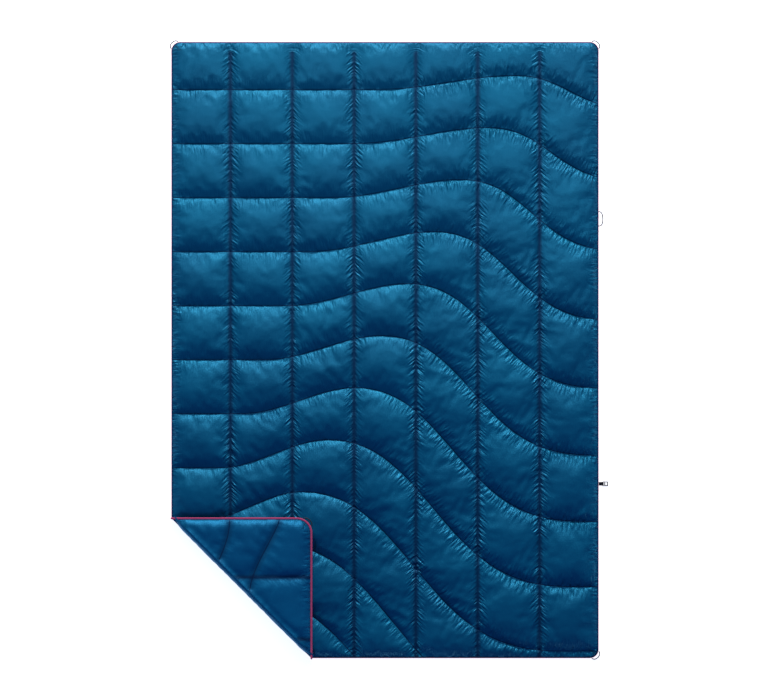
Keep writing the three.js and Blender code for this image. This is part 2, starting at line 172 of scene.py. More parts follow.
# Lengths are in metres. A pucker has its pitch along the seam and its length away from it, and
# a fade has the distances from a seam at which it starts to fade and is gone.
nylon = {
    "faceLight": (0.001, 0.146, 0.252), "faceDeep": (0.0008, 0.112, 0.208),
    "backLight": (0.0008, 0.152, 0.29), "backDeep": (0.0005, 0.114, 0.238),
    # colour of the painted shade laid over the cloth near seams and hem
    "paintedShadeColour": (0.0005, 0.018, 0.068),
    "roughness": {"face": 0.43, "back": 0.48}, "metallic": 0.45,
    "yarn": 0.0011, "ripstop": 0.006, "bumpHeight": 0.0017,
    "wavePucker": (0.0085, 0.036), "waveFade": (0.006, 0.05),
    "columnPucker": (0.0085, 0.026), "columnFade": (0.004, 0.036),
    "hemPucker": (0.0085, 0.024), "hemFade": (0.008, 0.038),
    "puckers": {"face": (1.6, 1.35, 1.2, 3.0), "back": (0.35, 0.25, 0.7, 1.4)},  # wave, column, hem, crumple
    # painted shade: how much the cloth is darkened near a wave seam
    "valleyShade": {"face": 0.0, "back": 0.45},  # how much darker the cloth is near a wave seam
    "blotchScale": 4.0, "patchScale": 11.0, "crumpleScale": 19.0, "reachScale": 30.0, "columnShadeScale": 60.0,
    "fineScale": 420.0,
}


def nylonFinish(name, side):
    light, deep = nylon[side + "Light"], nylon[side + "Deep"]
    puckers, roughness = nylon["puckers"][side], nylon["roughness"][side]
    cloth = Finish(name, Metallic=nylon["metallic"], Specular_IOR_Level=0.4,
                   Specular_Tint=(0.5, 0.8, 1.0, 1), Sheen_Weight=0.05, Sheen_Roughness=0.4,
                   Sheen_Tint=(0.4, 0.65, 1.0, 1))
    place = cloth.place()
    x, y, z = cloth.parts(place)
    yarn = 2 * math.pi / nylon["yarn"]
    thickYarn = math.pi / nylon["ripstop"]
    weave = (x * yarn).sine() * (y * yarn).sine()
    grid = (x * thickYarn).sine().size().rise(0.99, 1.0) + (y * thickYarn).sine().size().rise(0.99, 1.0)
    blotch = cloth.noise(place, nylon["blotchScale"], 3.0)
    fine = cloth.noise(place, nylon["fineScale"], 2.0)
    waveOff = cloth.attribute("waveOff")
    columnOff = cloth.attribute("columnOff")
    hemOff = cloth.attribute("hemOff")
    # short puckers square to each seam, strong in patches and on the steep parts of the waves
    patch = cloth.noise(place, nylon["patchScale"], 2.0).rise(0.38, 0.64)
    steep = x.rise(-0.1, 0.35)
    reach = 0.7 + cloth.noise(place, nylon["reachScale"], 1.0) * 0.6
    wavePucker = cloth.streaks("waveAlong", waveOff, nylon["wavePucker"], y) \
        * (waveOff / reach).fall(*nylon["waveFade"]) * waveOff.rise(0.0, 0.008) \
        * (0.15 + patch * 0.35 + steep * 0.5)
    columnPucker = cloth.streaks("columnAlong", columnOff, nylon["columnPucker"], x) \
        * (columnOff / reach).fall(*nylon["columnFade"]) * columnOff.rise(0.0, 0.006) * (0.25 + patch * 0.75)
    hemPucker = cloth.streaks("hemAlong", hemOff, nylon["hemPucker"], x) \
        * (hemOff / reach).fall(*nylon["hemFade"]) * hemOff.rise(0.002, 0.008) * (0.25 + patch * 0.75)
    crumple = cloth.noise(place, nylon["crumpleScale"], 1.5, 0.4)
    # painted shade, not the cloth's own colour: darker, and a little rougher, where the cloth dips into a
    # wave seam, along each column seam and at the hem's edge
    # painted shade: a thin dark line in the dip of each wave seam
    crease = waveOff.fall(0.0003, 0.0026) * 0.9
    # painted shade: a soft dark band of ragged width along each column seam
    columnShadeReach = 0.45 + cloth.noise(place, nylon["columnShadeScale"], 2.0) * 1.1
    columnShade = (columnOff / columnShadeReach).fall(0.0012, 0.0125) * 0.8
    # painted shade: a dark rim along the hem's edge
    rim = hemOff.fall(0.0034, 0.0058) * 0.8
    # painted shade: a wide soft darkening either side of each wave seam, on the back fabric only
    shade = waveOff.fall(0.001, 0.02) * nylon["valleyShade"][side]
    dark = 1 - (1 - crease) * (1 - columnShade) * (1 - rim) * (1 - shade)
    colour = cloth.mix(blotch.rise(0.3, 0.7) * 0.7 + fine * 0.3, (*deep, 1), (*light, 1))
    # the painted shade is mixed over the cloth's own colour here
    cloth.feed("Base Color", cloth.mix(dark, colour, (*nylon["paintedShadeColour"], 1)))
    cloth.feed("Roughness", roughness + (fine - 0.5) * 0.1 + (blotch - 0.5) * 0.08 + dark * 0.15)
    cloth.bump(wavePucker * puckers[0] + columnPucker * puckers[1] + hemPucker * puckers[2]
               + crumple * puckers[3] + weave * 0.03 + grid * 0.05 + fine * 0.1, nylon["bumpHeight"])
    return cloth.material


tapes = {
    "piping": {"light": (0.74, 0.12, 0.24), "deep": (0.46, 0.035, 0.11), "rib": 0.0009, "crossRib": 0.0013,
               "sheen": 0.2},
    "thread": {"light": (0.001, 0.03, 0.085), "deep": (0.0005, 0.012, 0.045), "rib": 0.0006,
               "crossRib": 0.0004, "sheen": 0.0},
    "strap": {"light": (0.024, 0.024, 0.027), "deep": (0.003, 0.003, 0.004), "rib": 0.0011,
              "crossRib": 0.0009, "sheen": 0.2},
    "fuzzScale": 900.0, "wornScale": 22.0, "bumpHeight": 0.00018,
}


def tapeFinish(name, kind):
    plan = tapes[kind]
    tape = Finish(name, Roughness=0.62, Sheen_Weight=plan["sheen"], Sheen_Roughness=0.4,
                  Specular_IOR_Level=0.2)
    place = tape.place()
    u, v, w = tape.along()
    ribs = (u * (2 * math.pi / plan["rib"])).sine() * 0.5 \
        + (v * (2 * math.pi / plan["crossRib"])).sine() * 0.5
    fuzz = tape.noise(place, tapes["fuzzScale"], 3.0)
    worn = tape.noise(place, tapes["wornScale"], 2.0)
    tape.feed("Base Color", tape.mix(ribs * 0.22 + fuzz * 0.45 + worn * 0.3,
                                     (*plan["deep"], 1), (*plan["light"], 1)))
    tape.feed("Roughness", 0.52 + fuzz * 0.24)
    tape.bump(ribs * 0.5 + fuzz * 0.4, tapes["bumpHeight"], 0.7)
    return tape.material


braid = {"light": (0.035, 0.037, 0.041), "deep": (0.004, 0.004, 0.005), "fleck": (0.25, 0.26, 0.27),
         "pitch": 0.0024, "fuzzScale": 1500.0, "bumpHeight": 0.0003}


def braidFinish(name):
    cord = Finish(name, Specular_IOR_Level=0.4)
    u, v, w = cord.along()
    first = ((u / braid["pitch"] + v) * (2 * math.pi)).sine()
    second = ((u / braid["pitch"] - v) * (2 * math.pi)).sine()
    strands = first.size() * second.size()
    fuzz = cord.noise(cord.place(), braid["fuzzScale"], 3.0)
    fleck = (first * second).rise(0.55, 0.8)
    colour = cord.mix(strands * 0.6 + fuzz * 0.3, (*braid["deep"], 1), (*braid["light"], 1))
    cord.feed("Base Color", cord.mix(fleck * 0.3, colour, (*braid["fleck"], 1)))
    cord.feed("Roughness", 0.5 + fuzz * 0.3)
    cord.bump(strands + fuzz * 0.3, braid["bumpHeight"], 0.8)
    return cord.material


moulding = {"light": (0.024, 0.024, 0.026), "deep": (0.006, 0.006, 0.007), "grainScale": 1800.0,
            "wornScale": 160.0, "bumpHeight": 0.00005}


def plasticFinish(name):
    plastic = Finish(name, Specular_IOR_Level=0.5)
    place = plastic.place()
    grain = plastic.noise(place, moulding["grainScale"], 3.0)
    worn = plastic.noise(place, moulding["wornScale"], 4.0)
    plastic.feed("Base Color", plastic.mix(worn * 0.6, (*moulding["deep"], 1), (*moulding["light"], 1)))
    plastic.feed("Roughness", 0.34 + worn * 0.18)
    plastic.bump(grain, moulding["bumpHeight"], 0.4)
    return plastic.material


faceNylon = nylonFinish("faceNylon", "face")
backNylon = nylonFinish("backNylon", "back")
pipingTape = tapeFinish("pipingTape", "piping")
quiltThread = tapeFinish("quiltThread", "thread")
strapWeave = tapeFinish("strapWeave", "strap")
cordBraid = braidFinish("cordBraid")
clipPlastic = plasticFinish("clipPlastic")
print("finishes made")


# small helpers for meshes
def readPoints(piece):
    flat = np.empty(len(piece.data.vertices) * 3)
    piece.data.vertices.foreach_get("co", flat)
    return flat.reshape(-1, 3)


def writePoints(piece, points):
    piece.data.vertices.foreach_set("co", np.ascontiguousarray(points).ravel())
    piece.data.update()


def only(piece):
    bpy.ops.object.select_all(action="DESELECT")
    piece.select_set(True)
    bpy.context.view_layer.objects.active = piece


def newPiece(name, points, faces, uv=None):
    mesh = bpy.data.meshes.new(name)
    mesh.from_pydata([tuple(map(float, p)) for p in points], [], faces)
    piece = bpy.data.objects.new(name, mesh)
    bpy.context.collection.objects.link(piece)
    if uv is not None:
        layer = mesh.uv_layers.new(name="lay")
        order = np.empty(len(mesh.loops), dtype=np.int32)
        mesh.loops.foreach_get("vertex_index", order)
        layer.data.foreach_set("uv", np.asarray(uv, dtype=float)[order].ravel())
    return piece


def faceOutwards(piece):
    work = bmesh.new()
    work.from_mesh(piece.data)
    bmesh.ops.recalc_face_normals(work, faces=work.faces)
    work.to_mesh(piece.data)
    work.free()


def finishPiece(piece, material, body=None):
    piece.data.materials.clear()
    piece.data.materials.append(material)
    only(piece)
    bpy.ops.object.shade_smooth_by_angle(angle=math.radians(50))
    if body:
        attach(piece, body)


def setField(piece, name, values):
    layer = piece.data.attributes.new(name, "FLOAT", "POINT")
    layer.data.foreach_set("value", np.ascontiguousarray(values, dtype=np.float32))


def ramp(values, low, high):
    t = np.clip((values - low) / (high - low), 0, 1)
    return t * t * (3 - 2 * t)


ripples = {"waves": 7, "rate": (0.6, 1.6), "phase": 6.3, "divide": 4}


def ripple(x, y, scale, seed):  # a smooth random height, about -1 to 1
    own = np.random.default_rng(seed)
    total = np.zeros(np.shape(x))
    for wave in range(ripples["waves"]):
        angle = own.uniform(0, 2 * math.pi)
        rate = own.uniform(*ripples["rate"]) / scale
        across = x * math.cos(angle) + y * math.sin(angle)
        total += np.sin(2 * math.pi * rate * across + own.uniform(0, ripples["phase"]))
    return total / ripples["divide"]


def densify(points, spacing):
    made = [points[0]]
    for start, end in zip(points, points[1:]):
        count = max(1, round(math.dist(start, end) / spacing))
        for step in range(1, count + 1):
            made.append(tuple(a + (b - a) * step / count for a, b in zip(start, end)))
    return made


# Seams, measured across from the left hem and down from the head hem. A pair or triple gives the
# first wave's value and how it changes from wave to wave.
quilting = {
    "columns": 7, "outerColumn": 0.183, "waves": 11, "firstWave": 0.147, "lastWaveFromFoot": 0.088,
    "start": (0.645, -0.0702), "crest": (1.059, -0.0821), "rise": (0.043, 0.0062),
    "trough": (1.467, -0.033), "drop": (0.064, 0.0535, -0.00144),
    "slopePower": 1.94, "slopeBias": 0.68, "columnFromHead": 0.036,
    "slopeStep": 0.002, "lengthPoints": 700, "pathPoints": 260, "puckerSlant": 0.8,
}


def waveDepth(line, across):
    n = line - 1
    pitch = (2 * halfLength - quilting["firstWave"] - quilting["lastWaveFromFoot"]) / (quilting["waves"] - 1)
    flat = quilting["firstWave"] + pitch * n
    start, crest, rise, trough = (quilting[part][0] + quilting[part][1] * n
                                  for part in ("start", "crest", "rise", "trough"))
    drop = quilting["drop"][0] + quilting["drop"][1] * n + quilting["drop"][2] * n * n
    up = np.clip((across - start) / (crest - start), 0, 1)
    down = np.clip((across - crest) / (trough - crest), 0, 1)
    fallen = down ** quilting["slopePower"]
    left = quilting["slopeBias"] * (1 - down) ** quilting["slopePower"]
    rising = flat - rise * up * up * (3 - 2 * up)
    falling = flat - rise + (rise + drop) * fallen / (fallen + left)
    return np.where(across < crest, rising, falling)


def columnX(column):
    inner = (2 * halfWidth - 2 * quilting["outerColumn"]) / (quilting["columns"] - 2)
    return -halfWidth + quilting["outerColumn"] + inner * (column - 1)


def overFold(x, y):  # where a point of the folded corner lies when the blanket is open
    return -halfWidth + foldLeg - (y + halfLength), -halfLength + foldLeg - (x + halfWidth)


waveGrid = np.linspace(0, 2 * halfWidth, quilting["lengthPoints"])
waveLengths = {}
for line in range(1, quilting["waves"] + 1):
    depths = waveDepth(line, waveGrid)
    waveLengths[line] = np.concatenate([[0], np.cumsum(np.hypot(np.diff(waveGrid), np.diff(depths)))])


def seamField(x, y):  # distances off and along the nearest wave and column
    waveOff = np.full(np.shape(x), farAway)
    waveAlong = np.zeros(np.shape(x))
    across = x + halfWidth
    step = quilting["slopeStep"]
    for line in range(1, quilting["waves"] + 1):
        depth = waveDepth(line, across)
        slope = (waveDepth(line, across + step) - waveDepth(line, across - step)) / (2 * step)
        gap = halfLength - y - depth
        off = np.abs(gap) / np.sqrt(1 + slope * slope)
        foot = across + gap * slope / (1 + slope * slope)
        along = np.interp(foot, waveGrid, waveLengths[line])
        waveAlong = np.where(off < waveOff, along, waveAlong)
        waveOff = np.minimum(waveOff, off)
    columnOff = np.full(np.shape(x), farAway)
    for number in range(1, quilting["columns"]):
        columnOff = np.minimum(columnOff, np.abs(x - columnX(number)))
    columnOff = np.where(halfLength - y < quilting["columnFromHead"],
                         np.hypot(columnOff, quilting["columnFromHead"] - halfLength + y), columnOff)
    return waveOff, waveAlong, columnOff, y + columnOff * quilting["puckerSlant"]


# the two layers' outlines: the quilt with its folded corner cut off, and the folded corner itself
outlines = {
    "quilt": {"corner": 0.028, "seams": seamField},
    "flap": {"corner": 0.048, "seams": lambda x, y: seamField(*overFold(x, y))},
}


def hemPath(layer, inset, fold=0.0):
    corner = outlines[layer]["corner"]
    step = fold * math.sqrt(2)
    arcSteps = 10

    def arc(cx, cy, start, end):
        turns = [math.radians(start + (end - start) * k / arcSteps) for k in range(arcSteps + 1)]
        radius = corner - inset
        return [(cx + radius * math.cos(turn), cy + radius * math.sin(turn)) for turn in turns]

    if layer == "quilt":
        across, down = halfWidth - corner, halfLength - corner
        path = [(-halfWidth + inset, -halfLength + foldLeg + step - inset)]
        path += arc(-across, down, 180, 90) + arc(across, down, 90, 0) + arc(across, -down, 0, -90)
        path += [(-halfWidth + foldLeg + step - inset, -halfLength + inset)]
        return path
    path = [(-halfWidth + step + inset, flapHigh[1] - inset)]
    path += arc(flapHigh[0] - corner, flapHigh[1] - corner, 90, 0)
    path += [(flapHigh[0] - inset, -halfLength + step + inset)]
    return path


def edgeField(layer, x, y):  # distance in from the hem, along it, and in from the fold
    corner = outlines[layer]["corner"]
    if layer == "quilt":
        dx = np.minimum(x + halfWidth, halfWidth - x)
        dy = np.minimum(y + halfLength, halfLength - y)
    else:
        dx, dy = flapHigh[0] - x, flapHigh[1] - y
    rounded = corner - np.hypot(np.maximum(corner - dx, 0), np.maximum(corner - dy, 0))
    hem = np.where((dx < corner) & (dy < corner), rounded, np.minimum(dx, dy))
    crease = (x + halfWidth + y + halfLength - foldLeg) / math.sqrt(2)
    return hem, np.where(dx < dy, y, x), crease


def seamPaths(spacing):
    paths = []
    for line in range(1, quilting["waves"] + 1):
        xs = np.linspace(-halfWidth, halfWidth, quilting["pathPoints"])
        ys = halfLength - waveDepth(line, xs + halfWidth)
        paths.append(("wave", line, densify(list(zip(xs.tolist(), ys.tolist())), spacing)))
    for number in range(1, quilting["columns"]):
        ends = [(columnX(number), halfLength - quilting["columnFromHead"]), (columnX(number), -halfLength)]
        paths.append(("column", number, densify(ends, spacing)))
    return paths


# all as parts of the spacing between points
meshing = {"alongSeam": 0.98, "seamEnd": 0.5, "crossing": 0.45, "longestEdge": 2.5, "scatter": 0.16,
           "clear": 0.6}


# An even triangle mesh of one layer whose edges follow hem, fold and seams
def panel(name, layer, spacing, inset, fold):
    seams = outlines[layer]["seams"]
    outline = hemPath(layer, inset, fold)
    points = [tuple(p) for p in densify(outline + outline[:1], spacing)[:-1]]
    edges = []
    for kind, number, path in seamPaths(spacing * meshing["alongSeam"]):
        if layer == "flap":
            path = [overFold(x, y) for x, y in path]
        xs, ys = np.array(path).T
        hem, hemAlong, crease = edgeField(layer, xs, ys)
        seamEnd = spacing * meshing["seamEnd"]
        inside = (hem > inset + seamEnd) & (crease > fold + seamEnd)
        if kind == "column":
            inside &= seams(xs, ys)[0] > spacing * meshing["crossing"]
        run = [p for p, keep in zip(path, inside) if keep]
        first = len(points)
        points.extend(run)
        edges.extend((first + i, first + i + 1) for i in range(len(run) - 1)
                     if math.dist(run[i], run[i + 1]) < spacing * meshing["longestEdge"])
    low = np.min(outline, axis=0)
    high = np.max(outline, axis=0)
    xs, ys = np.meshgrid(np.arange(low[0], high[0], spacing),
                         np.arange(low[1], high[1], spacing * math.sqrt(3) / 2))
    xs = xs + (np.arange(xs.shape[0]) % 2)[:, None] * spacing / 2
    scatter, clear = meshing["scatter"], spacing * meshing["clear"]
    xs = (xs + draw.uniform(-scatter, scatter, xs.shape) * spacing).ravel()
    ys = (ys + draw.uniform(-scatter, scatter, ys.shape) * spacing).ravel()
    hem, hemAlong, crease = edgeField(layer, xs, ys)
    waveOff, waveAlong, columnOff, columnAlong = seams(xs, ys)
    keep = (hem > inset + clear) & (crease > fold + clear) & (waveOff > clear) & (columnOff > clear)
    points.extend(zip(xs[keep].tolist(), ys[keep].tolist()))
    result = delaunay_2d_cdt([Vector(p) for p in points], edges, [], 0, 1e-7)
    return newPiece(name, [(p.x, p.y, 0) for p in result[0]], result[2])


# Puffing: held points stay put, the cloth between them is cut a little too large and blown up
puffing = {
    "quality": 5, "mass": 0.02, "air_damping": 3.0, "tension_stiffness": 22.0, "compression_stiffness": 22.0,
    "shear_stiffness": 6.0, "bending_stiffness": 0.25, "tension_damping": 3.0, "compression_damping": 3.0,
}


def puff(piece, held, growth, pressure, frames):
    group = piece.vertex_groups.new(name="held")
    group.add([int(i) for i in np.flatnonzero(held)], 1.0, "REPLACE")
    only(piece)
    cloth = piece.modifiers.new("Cloth", "CLOTH")
    settings = cloth.settings
    for name, value in puffing.items():
        setattr(settings, name, value)
    settings.vertex_group_mass = "held"
    settings.shrink_min = -growth
    settings.use_pressure = True
    settings.uniform_pressure_force = pressure
    settings.effector_weights.gravity = 0
    cloth.collision_settings.use_collision = False
    cloth.collision_settings.use_self_collision = False
    cloth.point_cache.frame_start = 1
    cloth.point_cache.frame_end = frames
    for step in range(1, frames + 1):
        bpy.context.scene.frame_set(step)
    bpy.ops.object.modifier_apply(modifier="Cloth")
    bpy.context.scene.frame_set(1)
    piece.vertex_groups.clear()


def relax(piece, points, free, rounds):  # takes out creases smaller than the cloth can hold
    ends = np.empty(len(piece.data.edges) * 2, dtype=np.int64)
    piece.data.edges.foreach_get("vertices", ends)
    a, b = ends.reshape(-1, 2).T
    count = np.bincount(a, minlength=len(points)) + np.bincount(b, minlength=len(points))
    for step in range(rounds):
        total = np.zeros_like(points)
        for axis in range(3):
            total[:, axis] = (np.bincount(a, points[b, axis], len(points))
                              + np.bincount(b, points[a, axis], len(points)))
        points = np.where(free[:, None], points * 0.5 + total / count[:, None] * 0.5, points)
    return points


# Closes a puffed cover with a flat inner side, so that it is a pad with its filling
def closePad(piece, points, innerZ, layer):
    writePoints(piece, points)
    work = bmesh.new()
    work.from_mesh(piece.data)
    rim = [edge for edge in work.edges if len(edge.link_faces) == 1]
    made = bmesh.ops.extrude_edge_only(work, edges=rim)["geom"]
    lower = {item for item in made if isinstance(item, bmesh.types.BMVert)}
    for vert in lower:
        vert.co.z = innerZ
    loop = [item for item in made if isinstance(item, bmesh.types.BMEdge)
            and item.verts[0] in lower and item.verts[1] in lower]
    inner = bmesh.ops.edgeloop_fill(work, edges=loop)["faces"]
    bmesh.ops.triangulate(work, faces=inner)
    bmesh.ops.recalc_face_normals(work, faces=work.faces)
    work.to_mesh(piece.data)
    work.free()
    piece.data.update()
    markSeams(piece, layer)


def markSeams(piece, layer):
    points = readPoints(piece)
    x, y = points[:, 0], points[:, 1]
    waveOff, waveAlong, columnOff, columnAlong = outlines[layer]["seams"](x, y)
    hem, hemAlong, crease = edgeField(layer, x, y)
    for name, values in (("waveOff", waveOff), ("waveAlong", waveAlong), ("columnOff", columnOff),
                         ("columnAlong", columnAlong), ("hemOff", hem), ("hemAlong", hemAlong)):
        setField(piece, name, values)


# what all puffed covers share: how near a held point is to its seam, and how the mesh starts
covers = {"onSeam": 0.0006, "onFold": 0.0008, "quickLoft": 1.5, "startRipple": 0.0004, "rippleScale": 0.03,
          "foldEase": (0.004, 0.05)}


def puffedCover(name, layer, plan):
    piece = panel(name, layer, plan["spacing"], plan["inset"], plan["fold"])
    points = readPoints(piece)
    x, y = points[:, 0], points[:, 1]
    waveOff, waveAlong, columnOff, columnAlong = outlines[layer]["seams"](x, y)
    hem, hemAlong, crease = edgeField(layer, x, y)
    onWave, onColumn = waveOff < covers["onSeam"], columnOff < covers["onSeam"]
    onHem, onFold = hem < plan["flange"], crease < plan["fold"] + covers["onFold"]
    held = onWave | onColumn | onHem | onFold
    lift = plan["loft"] * 1
    for gap in (waveOff, columnOff, hem, crease):
        lift = lift * (1 - np.exp(-gap / plan["reach"]))
    points[:, 2] = plan["waveZ"] + lift + ripple(x, y, covers["rippleScale"], 3) * covers["startRipple"]
    points[onColumn, 2] = plan["columnZ"]
    points[onWave, 2] = plan["waveZ"]
    rise = plan["flangeZ"] - plan["hemZ"]
    points[onHem, 2] = (plan["hemZ"] + rise * ramp(hem, plan["inset"], plan["flange"]))[onHem]
    atFold = plan["hemZ"] + (plan["foldEdgeZ"] - plan["hemZ"]) * ramp(hem, *covers["foldEase"])
    points[onFold, 2] = atFold[onFold]
    writePoints(piece, points)
    puff(piece, held, plan["growth"], plan["pressure"], plan["frames"])
    writePoints(piece, relax(piece, readPoints(piece), ~held, plan["relaxRounds"]))
    return piece


# face of the open part of the blanket: one puffed cover over all twelve fill rows
faceCoverPlan = {
    "spacing": 0.0062, "inset": 0.0012, "fold": 0.0003, "growth": 0.016, "pressure": 6.0, "frames": 11,
    "waveZ": 0.0052, "columnZ": 0.0088, "hemZ": 0.0066, "flangeZ": 0.0074, "flange": 0.0068,
    "loft": 0.0165, "reach": 0.02, "foldEdgeZ": 0.0222, "innerZ": 0.0046, "relaxRounds": 2,
    "underFlap": 0.01, "clearance": 0.0003, "proud": 0.003,
}


def quiltFace():
    plan = faceCoverPlan
    piece = puffedCover("faceCover", "quilt", plan)
    points = readPoints(piece)
    underFlap = np.all(points[:, :2] < np.array(flapHigh[:2]) + plan["underFlap"], axis=1)
    ceiling = np.where(underFlap, foldZ - plan["clearance"], quiltTop + plan["proud"])
    points[:, 2] = np.clip(points[:, 2], plan["waveZ"] - plan["clearance"], ceiling)
    closePad(piece, points, plan["innerZ"], "quilt")
    finishPiece(piece, faceNylon, "quilt")
    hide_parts("face_shell", *[name for name in nodeNames if name.startswith("fill_row")])


quiltFace()
print("face cover puffed")

# back of the open part, pressed flat by the ground between its seams
backCoverPlan = {"spacing": 0.0105, "inset": 0.0058, "fold": 0.012, "seamZ": 0.0042, "hemZ": 0.0036,
                 "groundZ": 0.0002, "seamReach": 0.02, "hemReach": 0.016, "innerZ": 0.0044,
                 "ripple": 0.0004, "rippleScale": 0.035, "rippleFade": (0.006, 0.02)}


def backCover():
    plan = backCoverPlan
    piece = panel("backCover", "quilt", plan["spacing"], plan["inset"], plan["fold"])
    points = readPoints(piece)
    x, y = points[:, 0], points[:, 1]
    waveOff, waveAlong, columnOff, columnAlong = seamField(x, y)
    hem, hemAlong, crease = edgeField("quilt", x, y)
    seam = np.minimum(waveOff, columnOff)
    z = plan["groundZ"] + (plan["seamZ"] - plan["groundZ"]) * (1 - ramp(seam, 0, plan["seamReach"]))
    z += (plan["hemZ"] - plan["groundZ"]) * (1 - ramp(hem - plan["inset"], 0, plan["hemReach"]))
    z += plan["ripple"] * (1 + ripple(x, y, plan["rippleScale"], 5)) * ramp(hem, *plan["rippleFade"])
    points[:, 2] = np.clip(z, plan["groundZ"], plan["seamZ"])
    closePad(piece, points, plan["innerZ"], "quilt")
    finishPiece(piece, backNylon, "quilt")
    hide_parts("back_shell")


backCover()
print("back cover made")

# the folded corner: its back fabric on top, its face fabric underneath, mirrored over the fold
flapBackPlan = {
    "spacing": 0.006, "inset": 0.0058, "fold": 0.012, "growth": 0.016, "pressure": 5.0, "frames": 11,
    "waveZ": 0.0395, "columnZ": 0.0405, "hemZ": 0.0336, "flangeZ": 0.0339, "flange": 0.0085,
    "loft": 0.008, "reach": 0.02, "innerZ": 0.0325, "foldEdgeZ": 0.0486, "topZ": 0.0502, "topEase": 0.002,
    "relaxRounds": 4,
}
flapFacePlan = {
    "spacing": 0.0066, "inset": 0.0012, "fold": 0.0003, "growth": 0.016, "pressure": 6.0, "frames": 11,
    "waveZ": 0.0052, "columnZ": 0.0088, "hemZ": 0.0062, "flangeZ": 0.0066, "flange": 0.0068,
    "loft": 0.0165, "reach": 0.02, "foldEdgeZ": 0.0199, "restZ": 0.0256, "flatten": 0.32, "innerZ": 0.0328,
    "foldClearance": 0.0002, "relaxRounds": 3,
}


def foldedCorner():
    plan = flapBackPlan
    back = puffedCover("flapBack", "flap", plan)
    points = readPoints(back)
    ease = plan["topEase"]
    over = points[:, 2] > plan["topZ"] - ease
    points[over, 2] = plan["topZ"] - ease * np.exp(-(points[over, 2] - plan["topZ"] + ease) / ease)
    closePad(back, points, plan["innerZ"], "flap")
    finishPiece(back, backNylon, "corner_flap")
    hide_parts("flap_back_shell", *[name for name in nodeNames if name.startswith("flap_fill_row")])

    plan = flapFacePlan
    face = puffedCover("flapFace", "flap", plan)
    points = readPoints(face)
    turned = plan["restZ"] + (quiltTop - points[:, 2]) * plan["flatten"]
    points[:, 2] = np.maximum(turned, foldZ + plan["foldClearance"])
    closePad(face, points, plan["innerZ"], "flap")
    finishPiece(face, faceNylon, "corner_flap")
    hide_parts("flap_face_shell")


foldedCorner()
print("folded corner puffed")

# Back fabric that turns round the fold from the quilt's underside to the folded corner's top
foldBendPlan = {"along": 110, "around": 14, "inset": 0.0125, "reach": 0.0155, "lowZ": 0.0007, "highZ": 0.0492,
                "hemLowZ": 0.0032, "hemHighZ": 0.034, "hemEase": 0.06, "thickness": 0.0008, "endGap": 0.004,
                "endWidth": 0.75, "blendFrom": 0.003, "blendTo": 0.0474,
                # each wrinkle: stretch round the fold, length, seed, height
                "fineWrinkle": (0.016, 0.022, 8, 0.0006), "softWrinkle": (0.03, 0.06, 9, 0.0008)}


def foldBend():
    plan = foldBendPlan
    legRun = foldLeg * math.sqrt(2)
    run = np.linspace(plan["endGap"], legRun - plan["endGap"], plan["along"])
    turn = np.linspace(-math.pi / 2, math.pi / 2, plan["around"])
    across, around = np.meshgrid(run, turn, indexing="ij")
    ease = ramp(np.minimum(across, legRun - across), 0, plan["hemEase"])
    low = plan["hemLowZ"] + (plan["lowZ"] - plan["hemLowZ"]) * ease
    high = plan["hemHighZ"] + (plan["highZ"] - plan["hemHighZ"]) * ease
    wrinkle = sum(ripple(across, around * stretch, length, seed) * height
                  for stretch, length, seed, height in (plan["fineWrinkle"], plan["softWrinkle"]))
    width = plan["endWidth"] + (1 - plan["endWidth"]) * ease
    out = plan["reach"] * np.cos(around) * width + wrinkle * np.cos(around) - plan["inset"]
    x = -halfWidth + across / math.sqrt(2) - out / math.sqrt(2)
    y = -halfLength + foldLeg - across / math.sqrt(2) - out / math.sqrt(2)
    z = (low + high) / 2 + (high - low) / 2 * np.sin(around)
    points = np.stack([x, y, z], axis=-1).reshape(-1, 3)
    rows = plan["around"]
    faces = [(i * rows + j, (i + 1) * rows + j, (i + 1) * rows + j + 1, i * rows + j + 1)
             for i in range(plan["along"] - 1) for j in range(rows - 1)]
    piece = newPiece("foldBend", points, faces)
    only(piece)
    wall = piece.modifiers.new("wall", "SOLIDIFY")
    wall.thickness = plan["thickness"]
    wall.offset = -1
    bpy.ops.object.modifier_apply(modifier="wall")
    markSeams(piece, "quilt")
    far = np.full(len(piece.data.vertices), farAway, dtype=np.float32)
    for name in ("waveOff", "columnOff", "hemOff"):
        piece.data.attributes[name].data.foreach_set("value", far)
    finishPiece(piece, backNylon)
    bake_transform(piece)


foldBend()
print("fold made")


